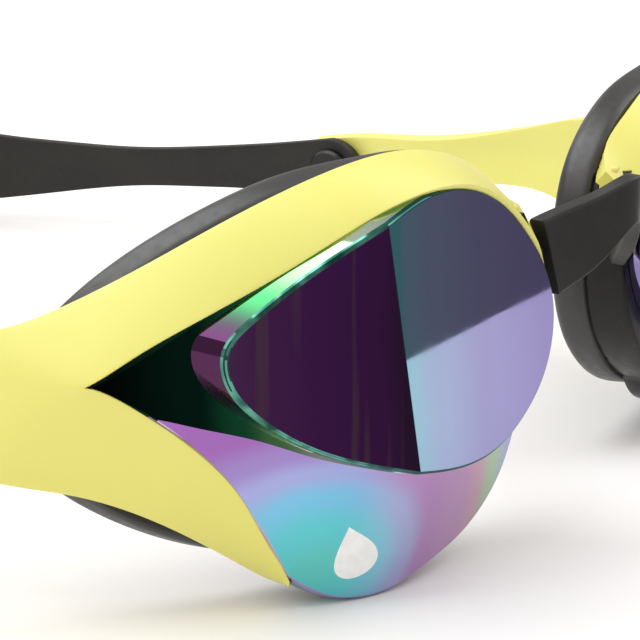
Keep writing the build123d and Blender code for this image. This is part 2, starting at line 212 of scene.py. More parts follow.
def fill(loop, spacing, lines=()):
    """Triangles over a closed outline (X, Z), with grid points inside and the lines kept as edges."""
    loop = [Vector(p) for p in loop]
    points = list(loop)
    edges = [(i, (i + 1) % len(loop)) for i in range(len(loop))]
    for line in lines:
        start = len(points)
        points += [Vector(p) for p in line]
        edges += [(i, i + 1) for i in range(start, start + len(line) - 1)]
    if spacing:
        xs, zs = [p.x for p in loop], [p.y for p in loop]
        keep_off = 0.6 * spacing
        fixed = np.array([(p.x, p.y) for p in points])
        for x in np.arange(min(xs), max(xs), spacing):
            for z in np.arange(min(zs), max(zs), spacing):
                if np.min(np.hypot(fixed[:, 0] - x, fixed[:, 1] - z)) > keep_off:
                    points.append(Vector((x, z)))
    made, _, faces, _, _, _ = delaunay_2d_cdt(points, edges, [list(range(len(loop)))], 1, 1e-6)
    return [(p.x, p.y) for p in made], [list(f) for f in faces]


def outward_normals(mesh):
    """Turns the faces of a closed mesh outward."""
    work = bmesh.new()
    work.from_mesh(mesh)
    bmesh.ops.recalc_face_normals(work, faces=work.faces)
    work.to_mesh(mesh)
    work.free()


def facing(vertices, face, forward):
    """The face wound so that it looks along forward."""
    a, b, c = (Vector(vertices[i]) for i in face[:3])
    normal = (b - a).cross(c - a)
    return list(face) if normal.dot(Vector(forward)) > 0 else list(reversed(face))


# the kinds of face of a shell
FACE, RIM, WALL, BACK = range(4)


def height_shell(loop, depth, back_depth, profile, spacing, lines=()):
    """A closed shell whose front is a height field over the loop.

    The profile (outward, back) rounds its edge, and spacing is that of the grid points on the front.
    """
    vertices, faces, kinds = [], [], []
    made, triangles = fill(moved_in(loop, profile[-1][0]), spacing, lines)
    vertices += [(x, depth(x, z), z) for x, z in made]
    for face in triangles:
        faces.append(facing(vertices, face, (0, -1, 0)))
        kinds.append(FACE)
    rings = []
    for outward, back in profile:
        start = len(vertices)
        ring = moved_in(loop, profile[-1][0] - outward)
        vertices += [(x, depth(x, z) + back, z) for x, z in ring]
        rings.append(start)
    start = len(vertices)
    vertices += [(x, back_depth(x, z), z) for x, z in loop]
    rings.append(start)
    count = len(loop)
    area = sum(a[0] * b[1] - b[0] * a[1] for a, b in zip(loop, loop[1:] + loop[:1]))
    for k, (a, b) in enumerate(zip(rings, rings[1:])):
        for i in range(count):
            j = (i + 1) % count
            quad = [a + i, a + j, b + j, b + i]
            faces.append(quad if area < 0 else quad[::-1])
            kinds.append(RIM if k < len(rings) - 2 else WALL)
    start = len(vertices)
    made, triangles = fill(loop, spacing, lines)
    vertices += [(x, back_depth(x, z), z) for x, z in made]
    for face in triangles:
        faces.append(facing(vertices, [start + i for i in face], (0, 1, 0)))
        kinds.append(BACK)
    return vertices, faces, kinds


def join_shells(*shells):
    vertices, faces, kinds = [], [], []
    for v, f, k in shells:
        start = len(vertices)
        vertices += list(v)
        faces += [[start + i for i in face] for face in f]
        kinds += list(k)
    return vertices, faces, kinds


def weld(mesh, distance=0.02 * MM):
    work = bmesh.new()
    work.from_mesh(mesh)
    bmesh.ops.remove_doubles(work, verts=work.verts, dist=distance)
    work.to_mesh(mesh)
    work.free()


# ---------------------------------------------------------------- lens
LENS_WALL = 1.8
LENS_GRID = 0.9
# edge profiles (outward, back) of the screen and of the flange
SCREEN_EDGE = [(0.0, 0.0), (0.1, 0.04), (0.2, 0.2), (0.34, 0.24), (0.42, 0.5)]
RIM_EDGE = [(0.0, 0.0), (0.12, 0.05), (0.3, 0.3)]


def lens_loop():
    """The lens outline in one loop: over the top to the nose, round the chin, and up the side."""
    top = spline_points(LENS_TOP, 110)[:-1]
    chin = spline_points(LENS_CHIN, 70)[:-1]
    side = spline_points(LENS_SIDE, 40)[:-1]
    return [tuple(p) for p in np.vstack([top, chin, side])]


def screen_loop():
    temple = spline_points(SCREEN_TEMPLE, 80)[:-1]
    front = spline_points(SCREEN_FRONT, 110)[:-1]
    return [tuple(p) for p in np.vstack([temple, front])]


def chin_line():
    """Where the upper flange meets the chin, from the screen's foot to the temple."""
    points = []
    for x in np.linspace(20.5, 62.1, 90):
        gap = CHIN_PLAN(x) - FLANGE_PLAN(x) + FLANGE_LEAN * FLANGE_PLAN_Z + CHIN_RAKE * CHIN_PLAN_Z
        points.append((x, gap / (FLANGE_LEAN + CHIN_RAKE)))
    return points


# where a face of the lens lies, for its coating
ZONES = {"flange": 0.0, "chin": 1.0, "screen": 2.0, "screen_wall": 3.0, "screen_rim": 4.0,
         "chin_rim": 5.0}


def build_lens(side, mirrored, coating, tint):
    """The lens: a curved flange with the flat-faced screen standing proud of it."""
    flange = height_shell(lens_loop(), flange_depth, lambda x, z: flange_depth(x, z) + LENS_WALL,
                          RIM_EDGE, LENS_GRID, [chin_line()])
    crease = [CREASE_BOTTOM[::2], CREASE_TOP[::2]]
    screen = height_shell(screen_loop(), screen_depth,
                          lambda x, z: flange_depth(x, z) + LENS_WALL * 0.5, SCREEN_EDGE, 0, [crease])
    vertices, faces, kinds = join_shells(flange, screen)
    inner = [1 if kind == BACK else 0 for kind in kinds]
    mesh = mesh_from(f"{side}_lens_shell", vertices, faces, mirrored, inner)
    zones = mesh.attributes.new("zone", "FLOAT", "FACE")
    for i, (face, kind) in enumerate(zip(faces, kinds)):
        x, _, z = np.mean([vertices[k] for k in face], axis=0)
        if i < len(flange[1]):
            chin = "chin_rim" if kind == RIM else "chin"
            zone = chin if chin_depth(x, z) > upper_depth(x, z) else "flange"
        else:
            zone = {FACE: "screen", RIM: "screen_rim"}.get(kind, "screen_wall")
        zones.data[i].value = ZONES[zone]
    piece = new_object(f"{side}_lens_shell", mesh)
    weld(piece.data, 0.004 * MM)
    shade_smooth(piece, 9)
    return finish_piece(piece, "eyepieces", "lens", [coating, tint], f"{side}_lens")


# ---------------------------------------------------------------- frame
# stations along each band, from the nose or the chin to the tip of the lens: the near edge beside
# the lens, the far edge, and the way inward
TOP_STATIONS = [
    ((12.9, 3.3, 32.4), (10.4, 8.3, 38.2), (1.6, 1.2, -0.9)),
    ((14.6, 3.1, 35.2), (13.2, 10.0, 40.4), (1.3, 1.2, -1.3)),
    ((18.7, 3.6, 39.6), (17.5, 10.0, 43.5), (0.9, 1.2, -1.6)),
    ((25.2, 4.2, 43.7), (25.0, 10.3, 46.8), (0.3, 1.1, -1.9)),
    ((33.7, 4.9, 45.2), (33.9, 11.4, 48.2), (0.0, 1.0, -2.0)),
    ((41.5, 6.8, 43.9), (42.6, 14.1, 47.0), (-0.5, 1.1, -1.8)),
    ((50.1, 12.0, 39.0), (51.5, 19.6, 43.1), (-1.1, 1.2, -1.5)),
    ((57.7, 18.3, 34.0), (58.6, 26.2, 38.1), (-1.5, 1.2, -1.1)),
    ((62.9, 23.2, 30.2), (62.9, 31.3, 34.7), (-1.9, 1.1, -0.5)),
    ((66.3, 26.9, 27.1), (66.0, 35.2, 32.6), (-2.2, 0.9, 0.0)),
]
LOW_STATIONS = [
    ((49.3, 12.7, 3.5), (48.9, 13.3, 2.9), (-1.2, 0.9, 1.5)),
    ((50.1, 13.1, 5.2), (48.9, 16.0, 3.0), (-1.4, 0.9, 1.4)),
    ((51.6, 13.9, 8.0), (50.3, 18.5, 4.4), (-1.5, 0.9, 1.4)),
    ((54.5, 15.5, 14.0), (54.5, 22.2, 8.0), (-1.7, 0.9, 1.1)),
    ((58.3, 18.1, 19.4), (59.5, 27.0, 11.6), (-1.9, 0.9, 0.8)),
    ((62.6, 22.4, 24.2), (63.2, 31.6, 13.4), (-2.1, 1.0, 0.3)),
    ((66.3, 26.9, 27.1), (66.0, 35.2, 14.2), (-2.2, 0.9, 0.0)),
]
# arm stations: (outermost X, Y, lowest Z, highest Z)
ARM_STATIONS = [(70.0, 41.0, 15.6, 30.7), (71.9, 48.0, 17.4, 28.6), (73.2, 56.0, 17.5, 26.2),
                (73.5, 65.0, 16.2, 24.0), (73.5, 74.0, 14.0, 22.5), (73.5, 83.0, 11.0, 21.6),
                (73.5, 92.0, 9.9, 19.9)]
ARM_CROWN = 0.5
ARM_THICK = 2.3
BAND_BULGE = 0.35
BAND_ROWS = [0.0, 0.05, 0.2, 0.4, 0.6, 0.8, 0.95, 1.0]
TOP_COLUMNS, LOW_COLUMNS, ARM_COLUMNS = 60, 40, 48
BAND_WALL, BAND_EDGE = 2.2, 0.45
TIP_Y, EASE_LENGTH, EASE_ROUNDS = 27.2, 2, 24
FLATTEN_Y, FLATTEN_LENGTH = 24, 14


def station_curves(stations, columns, top):
    """Near edge, far edge and the way inward along a band, then along its half of the arm."""
    near, far, push = ([station[k] for station in stations] for k in range(3))
    for x, y, low, high in ARM_STATIONS:
        near.append((x, y, (low + high) / 2))
        far.append((x - ARM_CROWN, y, high if top else low))
        push.append((-ARM_THICK, 0, 0))
    curves = []
    for knots in (near, far, push):
        dense = spline_points(knots, 600)
        tip = np.argmin(np.linalg.norm(dense - np.array(knots[len(stations) - 1]), axis=1))
        before = np.linspace(0, tip, columns)
        after = np.linspace(tip, len(dense) - 1, ARM_COLUMNS)[1:]
        picked = np.concatenate([before, after])
        indices = np.arange(len(dense))
        curves.append(np.stack([np.interp(picked, indices, dense[:, k]) for k in range(3)], axis=1))
    return curves


def band_sheet(stations, columns, top):
    """The outer surface of one band, as vertices and faces."""
    near, far, push = station_curves(stations, columns, top)
    # behind the lens tip both bands share one seam, midway between their own
    other_near = station_curves(LOW_STATIONS if top else TOP_STATIONS, 2, not top)[0]
    near[-ARM_COLUMNS:] = (near[-ARM_COLUMNS:] + other_near[-ARM_COLUMNS:]) / 2
    out = -push / np.linalg.norm(push, axis=1)[:, None]
    along_arm = np.clip((near[:, 1] - FLATTEN_Y) / FLATTEN_LENGTH, 0, 1)
    bulge = (BAND_BULGE + along_arm * (ARM_CROWN / 4 - BAND_BULGE))[:, None]
    vertices, faces = [], []
    rows = len(BAND_ROWS)
    for t in BAND_ROWS:
        vertices += [tuple(p) for p in near + t * (far - near) + 4 * t * (1 - t) * bulge * out]
    count = len(near)
    for r in range(rows - 1):
        for c in range(count - 1):
            near_row, far_row = r * count + c, (r + 1) * count + c
            faces.append([near_row, near_row + 1, far_row + 1, far_row])
    return vertices, faces


def build_frame(side, mirrored, material):
    """Both bands and the arm as one sheet, given its thickness by a modifier."""
    top, top_faces = band_sheet(TOP_STATIONS, TOP_COLUMNS, True)
    low, low_faces = band_sheet(LOW_STATIONS, LOW_COLUMNS, False)
    top_faces = [facing(top, f, (1, -1, 1)) for f in top_faces]
    low_faces = [facing(low, f, (1, -1, -0.3)) for f in low_faces]
    vertices, faces, _ = join_shells((top, top_faces, []), (low, low_faces, []))
    mesh = mesh_from(f"{side}_frame_band", vertices, faces, mirrored)
    weld(mesh, 0.06 * MM)
    piece = new_object(f"{side}_frame_band", mesh)
    work = bmesh.new()
    work.from_mesh(mesh)
    bmesh.ops.recalc_face_normals(work, faces=work.faces)
    probe = max(work.faces, key=lambda f: f.calc_center_median().y)
    outward = -1 if mirrored else 1
    if probe.normal.x * outward < 0:
        bmesh.ops.reverse_faces(work, faces=work.faces)
    work.to_mesh(mesh)
    work.free()
    # the surface eases over the middle of the arm, where the two bands run together
    ease = piece.vertex_groups.new(name="ease")
    work = bmesh.new()
    work.from_mesh(mesh)
    for v in work.verts:
        if not v.is_boundary:
            behind_tip = (v.co.y - SHIFT_Y) / MM - TIP_Y
            ease.add([v.index], min(1.0, max(0.0, behind_tip / EASE_LENGTH)), "REPLACE")
    work.free()
    flow = piece.modifiers.new("ease", "SMOOTH")
    flow.factor = 0.5
    flow.iterations = EASE_ROUNDS
    flow.vertex_group = "ease"
    thick = piece.modifiers.new("wall", "SOLIDIFY")
    thick.thickness = BAND_WALL * MM
    thick.offset = -1
    thick.use_even_offset = False
    edge = piece.modifiers.new("edge", "BEVEL")
    edge.width = BAND_EDGE * MM
    edge.segments = 3
    edge.limit_method = "ANGLE"
    edge.angle_limit = math.radians(55)
    shade_smooth(piece, 40)
    return finish_piece(piece, "eyepieces", "frame", [material], f"{side}_frame")


# two plates (low corner, high corner): the lug that the bridge plugs into, and its root on the band
LUG_PLATE = ((5.45, 7.45, 28.95), (14.9, 9.8, 35.25))
ROOT_PLATE = ((11.4, 7.5, 28.95), (15.0, 9.85, 38.6))
PLATE_ROUND = 0.7


def rounded_plate(low, high, radius, name, mirrored):
    """A small plate with rounded edges, between two drawn corners."""
    low, high = Vector(low), Vector(high)
    work = bmesh.new()
    bmesh.ops.create_cube(work, size=1)
    for v in work.verts:
        p = Vector([(low[k] + high[k]) / 2 + v.co[k] * (high[k] - low[k]) for k in range(3)])
        v.co = place(-p.x if mirrored else p.x, p.y, p.z)
    if mirrored:
        bmesh.ops.reverse_faces(work, faces=work.faces)
    bmesh.ops.bevel(work, geom=work.edges[:], offset=radius * MM, segments=4, affect="EDGES",
                    profile=0.6)
    mesh = bpy.data.meshes.new(name)
    work.to_mesh(mesh)
    work.free()
    return new_object(name, mesh)


def build_nose_lug(side, mirrored, material):
    for name, (low, high) in (("frame_nose_lug", LUG_PLATE), ("frame_lug_root", ROOT_PLATE)):
        plate = rounded_plate(low, high, PLATE_ROUND, f"{side}_{name}", mirrored)
        shade_smooth(plate, 40)
        finish_piece(plate, "eyepieces", "frame", [material])


# ---------------------------------------------------------------- gasket
# the ring's section (outward, back) round the seat
SEAL_PROFILE = [(-1.5, 0.1), (-0.7, 0.25), (-0.45, 1.2), (-0.35, 2.4), (-0.2, 3.4), (-0.3, 4.2),
                (-0.9, 4.8), (-1.8, 5.0), (-2.7, 4.7), (-3.3, 3.9), (-3.4, 2.2), (-3.2, 0.5)]
SEAL_LIFT = 0.1


def build_gasket(side, mirrored, material):
    """A soft ring that flares towards the face, drawn as one profile run round the seat."""
    loop = spline_points(FACE_OUTLINE, 150, closed=True)
    rings = [moved_in(loop, -outward) for outward, _ in SEAL_PROFILE]
    count, size = len(loop), len(SEAL_PROFILE)
    vertices = []
    for i in range(count):
        for k, (outward, back) in enumerate(SEAL_PROFILE):
            x, z = rings[k][i]
            vertices.append((x, SEAT_PLAN(loop[i][0]) + SEAL_LIFT + back, z))
    faces = []
    for i in range(count):
        j = (i + 1) % count
        for k in range(size):
            m = (k + 1) % size
            faces.append([i * size + k, i * size + m, j * size + m, j * size + k])
    mesh = mesh_from(f"{side}_face_seal", vertices, faces, mirrored)
    outward_normals(mesh)
    piece = new_object(f"{side}_face_seal", mesh)
    smooth = piece.modifiers.new("smooth", "SUBSURF")
    smooth.levels = smooth.render_levels = 1
    shade_smooth(piece, 60)
    return finish_piece(piece, "eyepieces", "gasket", [material], f"{side}_gasket")


# ---------------------------------------------------------------- bridge
# half of the bar: its front seen from above (X, Y), and its top and bottom edges (X, Z)
BRIDGE_LINE = [(-10.3, 4.9), (-8, 3.7), (-5, 1.3), (-2.5, -0.7), (0, -1.7)]
BRIDGE_TOP = [(-10.3, 36.8), (-6.9, 38.0), (-3.8, 39.5), (0, 41.1)]
BRIDGE_LOW = [(-8, 27.6), (-5.7, 29.4), (-3.1, 32.4), (0, 35.3)]
BRIDGE_THICK, BRIDGE_COLUMNS = 2.2, 49
PEG_R, PEG_X, PEG_Z, PEG_START, PEG_END = 1.5, 8.2, 32.4, 5.5, 10.1


def both_ways(points):
    """A curve drawn up to the middle, carried on to its mirror image."""
    return points + [(-x, other) for x, other in reversed(points[:-1])]


def build_bridge(material):
    """A bow-tie bar with a broad chamfer along its top, a fine one below, and a peg behind each end."""
    count = BRIDGE_COLUMNS
    top, low = (spline_points(both_ways(points), count) for points in (BRIDGE_TOP, BRIDGE_LOW))
    line = Plan(both_ways(BRIDGE_LINE))
    # round the section: the share of the way up, and how far back
    section = [(0.0, 0.3), (0.035, 0.0), (0.5, 0.0), (0.955, 0.0), (1.0, 0.35),
               (1.0, BRIDGE_THICK - 0.3), (0.96, BRIDGE_THICK), (0.5, BRIDGE_THICK),
               (0.04, BRIDGE_THICK), (0.0, BRIDGE_THICK - 0.3)]
    vertices, faces = [], []
    size = len(section)
    for i in range(count):
        for t, back in section:
            x = low[i][0] + t * (top[i][0] - low[i][0])
            z = low[i][1] + t * (top[i][1] - low[i][1])
            vertices.append((x, line(x) + back, z))
    for i in range(count - 1):
        for k in range(size):
            m = (k + 1) % size
            faces.append([i * size + k, i * size + m, (i + 1) * size + m, (i + 1) * size + k])
    faces.append(list(range(size)))
    faces.append([(count - 1) * size + k for k in range(size)])
    mesh = mesh_from("bridge_bar", vertices, faces)
    work = bmesh.new()
    work.from_mesh(mesh)
    for x in (-PEG_X, PEG_X):
        centre = place(x, (PEG_START + PEG_END) / 2, PEG_Z)
        turn = Matrix.Translation(centre) @ Matrix.Rotation(math.pi / 2, 4, "X")
        bmesh.ops.create_cone(work, cap_ends=True, segments=32, radius1=PEG_R * MM, radius2=PEG_R * MM,
                              depth=(PEG_END - PEG_START) * MM, matrix=turn)
    bmesh.ops.recalc_face_normals(work, faces=work.faces)
    work.to_mesh(mesh)
    work.free()
    piece = new_object("bridge_bar", mesh)
    edge = piece.modifiers.new("edge", "BEVEL")
    edge.width = 0.14 * MM
    edge.segments = 2
    edge.limit_method = "ANGLE"
    edge.angle_limit = math.radians(25)
    shade_smooth(piece, 30)
    return finish_piece(piece, "bridge", "bridge", [material], "nose_bridge")


# ---------------------------------------------------------------- straps
STRAP_THICK = 1.6
TAB_FRONT, TAB_BACK, TAIL_START = 80.0, 104.0, 24.0
TAB_X = 70.6
REAR_Y, LAP_GAP, LAP_HALF = 172.6, 0.1, 13.0
PIVOT_Z, EYELET_R, NOSE_REACH, NOSE_HALF = 15.4, 2.3, 5.8, 5.2
# distances along the strap of the eyelet and of the middle of the tab's round nose
EYELET_RUN, NOSE_RUN = PIVOT_Y - TAB_FRONT, 7.9
STRAP_GRID, GRID_CLEAR = 1.5, 0.9
# side view of a strap half as (Y, Z)
STRAP_TOP_EDGE = [(88, 20.6), (98, 18.5), (112, 16.0), (126, 14.3), (138, 14.2), (148, 14.9),
                  (168, 20.2)]
STRAP_LOW_EDGE = [(88, 10.2), (98, 10.6), (112, 9.4), (126, 7.9), (138, 5.8), (148, 4.1), (168, 2.0)]
FORK_LOW = [(151, 9.5), (160, 7.9), (168, 7.6)]
FORK_TOP = [(151, 9.5), (160, 12.4), (168, 14.6)]


def strap_path(rear):
    """The strap's outer side seen from above, densely sampled, with the distance along it."""
    points = [(TAB_X, y) for y in np.linspace(TAB_FRONT, TAB_BACK, 25)]
    for angle in np.linspace(0, math.pi / 2, 181)[1:]:
        points.append((TAIL_START + (TAB_X - TAIL_START) * math.cos(angle),
                       TAB_BACK + (rear - TAB_BACK) * math.sin(angle)))
    points += [(x, rear) for x in np.linspace(TAIL_START, -LAP_HALF, 40)[1:]]
    path = np.array(points)
    run = np.concatenate([[0], np.cumsum(np.linalg.norm(np.diff(path, axis=0), axis=1))])
    return path, run


def build_strap(side, mirrored, rear, material):
    """A moulded silicone half: tab with its eyelet, neck and two bands, cut flat and bent round."""
    path, run = strap_path(rear)
    length = run[-1]

    def edge(points):
        """A drawn edge with the distance along the strap in place of Y, carried on to its end."""
        line = [(float(np.interp(y, path[:, 1], run)), float(z)) for y, z in spline_points(points, 90)]
        return line + [(length, points[-1][1])]

    nose = [(NOSE_RUN - NOSE_REACH * math.sin(a), PIVOT_Z + NOSE_HALF * math.cos(a))
            for a in np.linspace(0.1, 3.04, 24)]
    top, low = edge(STRAP_TOP_EDGE), edge(STRAP_LOW_EDGE)
    upper_inner, lower_inner = edge(FORK_TOP), edge(FORK_LOW)
    outline = nose[::-1] + top + upper_inner[::-1] + lower_inner[1:] + low[::-1]
    dense = [outline[0]]
    for p in outline[1:] + outline[:1]:
        gap = math.dist(dense[-1], p)
        steps = max(1, int(gap / 1.6))
        start = dense[-1]
        dense += [(start[0] + (p[0] - start[0]) * k / steps, start[1] + (p[1] - start[1]) * k / steps)
                  for k in range(1, steps + 1)]
    dense = dense[:-1]
    eyelet = [(EYELET_RUN + EYELET_R * math.cos(a), PIVOT_Z + EYELET_R * math.sin(a))
              for a in np.linspace(0, 2 * math.pi, 37)[:-1]]
    loop = [Vector(p) for p in dense]
    hole = [Vector(p) for p in eyelet]
    points = loop + hole
    edges = [(i, (i + 1) % len(loop)) for i in range(len(loop))]
    edges += [(len(loop) + i, len(loop) + (i + 1) % len(hole)) for i in range(len(hole))]
    fixed = np.array([tuple(p) for p in points])
    for s in np.arange(2, length, STRAP_GRID):
        for z in np.arange(1, 22, STRAP_GRID):
            if np.min(np.hypot(fixed[:, 0] - s, fixed[:, 1] - z)) > GRID_CLEAR:
                points.append(Vector((s, z)))
    rings = [list(range(len(loop))), list(range(len(loop), len(loop) + len(hole)))]
    made, _, triangles, _, _, _ = delaunay_2d_cdt(points, edges, rings, 2, 1e-5)
    vertices = [(*(float(np.interp(p.x, run, path[:, k])) for k in range(2)), p.y) for p in made]
    flat = [(p.x, 0, p.y) for p in made]
    faces = []
    for triangle in triangles:
        middle = sum((made[i] for i in triangle), Vector((0, 0))) / len(triangle)
        if math.dist(middle, (EYELET_RUN, PIVOT_Z)) < EYELET_R * 0.97:
            continue
        faces.append(facing(flat, triangle, (0, -1, 0)))
    mesh = mesh_from(f"{side}_strap_band", vertices, faces, mirrored)
    piece = new_object(f"{side}_strap_band", mesh)
    thick = piece.modifiers.new("wall", "SOLIDIFY")
    thick.thickness = STRAP_THICK * MM
    thick.offset = -1
    rounded = piece.modifiers.new("edge", "BEVEL")
    rounded.width = 0.38 * MM
    rounded.segments = 3
    rounded.limit_method = "ANGLE"
    rounded.angle_limit = math.radians(60)
    shade_smooth(piece, 50)
    return finish_piece(piece, "strap_loop", "strap", [material], f"{side}_strap")


# ---------------------------------------------------------------- carried-over CAD nodes
def dress_node(name, material, bevel):
    """A CAD node with its edges rounded and a material of its own."""
    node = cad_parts[name]
    joined = node.modifiers.new("joined", "WELD")
    joined.merge_threshold = 0.002 * MM
    rounded = node.modifiers.new("rounded", "BEVEL")
    rounded.width = bevel * MM
    rounded.segments = 2
    rounded.limit_method = "ANGLE"
    rounded.angle_limit = math.radians(35)
    node.data.materials.clear()
    node.data.materials.append(material)


# ---------------------------------------------------------------- materials
def srgb(code):
    """A linear colour from a six digit hex code."""
    values = [int(code[i:i + 2], 16) / 255 for i in (0, 2, 4)]
    return tuple(v / 12.92 if v <= 0.04045 else ((v + 0.055) / 1.055) ** 2.4 for v in values) + (1.0,)


class Nodes:
    """A material's node tree, with short calls for the few nodes used here."""

    def __init__(self, name):
        self.material = bpy.data.materials.new(name)
        self.material.use_nodes = True
        self.tree = self.material.node_tree
        self.shader = self.tree.nodes["Principled BSDF"]
        self.object_point = self.tree.nodes.new("ShaderNodeTexCoord").outputs["Object"]

    def link(self, source, target):
        self.tree.links.new(source, target)

    def node(self, kind, **settings):
        made = self.tree.nodes.new(kind)
        for key, value in settings.items():
            setattr(made, key, value)
        return made

    def set_input(self, made, key, value):
        if hasattr(value, "is_output"):
            self.link(value, made.inputs[key])
        else:
            made.inputs[key].default_value = value

    def math(self, operation, a, b=0.0):
        made = self.node("ShaderNodeMath", operation=operation)
        self.set_input(made, 0, a)
        self.set_input(made, 1, b)
        return made.outputs[0]

    def stretch(self, scale, turn=(0, 0, 0)):
        made = self.node("ShaderNodeMapping")
        made.inputs["Scale"].default_value = scale
        made.inputs["Rotation"].default_value = turn
        self.link(self.object_point, made.inputs["Vector"])
        return made.outputs[0]

    def noise(self, scale, detail=3.0, vector=None):
        made = self.node("ShaderNodeTexNoise")
        made.inputs["Scale"].default_value = scale
        made.inputs["Detail"].default_value = detail
        self.link(vector or self.object_point, made.inputs["Vector"])
        return made.outputs["Fac"]

    def remap(self, value, low, high, to_low=0.0, to_high=1.0, smooth=False):
        made = self.node("ShaderNodeMapRange", interpolation_type="SMOOTHSTEP" if smooth else "LINEAR")
        self.set_input(made, 0, value)
        for i, number in enumerate((low, high, to_low, to_high)):
            made.inputs[i + 1].default_value = number
        return made.outputs[0]

    def ramp(self, value, stops):
        made = self.node("ShaderNodeValToRGB")
        made.color_ramp.interpolation = "EASE"
        elements = made.color_ramp.elements
        elements[0].position, elements[0].color = stops[0][0], srgb(stops[0][1])
        elements[1].position, elements[1].color = stops[-1][0], srgb(stops[-1][1])
        for position, code in stops[1:-1]:
            elements.new(position).color = srgb(code)
        self.link(value, made.inputs[0])
        return made.outputs[0]

    def mix(self, amount, a, b, blend="MIX"):
        made = self.node("ShaderNodeMix", data_type="RGBA", blend_type=blend)
        self.set_input(made, 0, amount)
        self.set_input(made, 6, a)
        self.set_input(made, 7, b)
        return made.outputs[2]

    def bump(self, height, strength, distance):
        made = self.node("ShaderNodeBump")
        made.inputs["Strength"].default_value = strength
        made.inputs["Distance"].default_value = distance
        self.link(height, made.inputs["Height"])
        self.link(made.outputs[0], self.shader.inputs["Normal"])

    def axis(self, index):
        made = self.node("ShaderNodeSeparateXYZ")
        self.link(self.object_point, made.inputs[0])
        return made.outputs[index]

    def put(self, **values):
        for key, value in values.items():
            self.set_input(self.shader, key.replace("_", " "), value)


def moulded_yellow():
    m = Nodes("moulded_lime_plastic")
    tone = m.ramp(m.noise(22, 2), [(0.3, "E1DB70"), (0.5, "E5DF76"), (0.72, "E8E37D")])
    m.put(Base_Color=tone, Roughness=m.remap(m.noise(900, 3), 0.3, 0.7, 0.3, 0.4),
          Specular_IOR_Level=0.5, Subsurface_Weight=0.1, Subsurface_Scale=0.0014)
    m.shader.inputs["Subsurface Radius"].default_value = (1.0, 0.9, 0.4)
    m.bump(m.noise(1600, 2), 0.08, 0.00003)
    return m.material


def rubber(name, dark, light, rough, gloss, grain=900.0):
    """Moulded silicone or rubber: near black, with a soft broad sheen and a fine matt grain."""
    m = Nodes(name)
    dust = m.remap(m.noise(grain * 1.5, 2), 0.62, 0.8, 0.0, 0.1)
    tone = m.mix(dust, m.ramp(m.noise(60, 3), [(0.3, dark), (0.7, light)]), srgb("4A4743"))
    m.put(Base_Color=tone, Roughness=m.remap(m.noise(grain, 3), 0.3, 0.7, rough - 0.05, rough + 0.07))
    m.shader.inputs["Specular IOR Level"].default_value = gloss
    m.bump(m.noise(grain * 2.2, 2), 0.14, 0.00004)
    return m.material


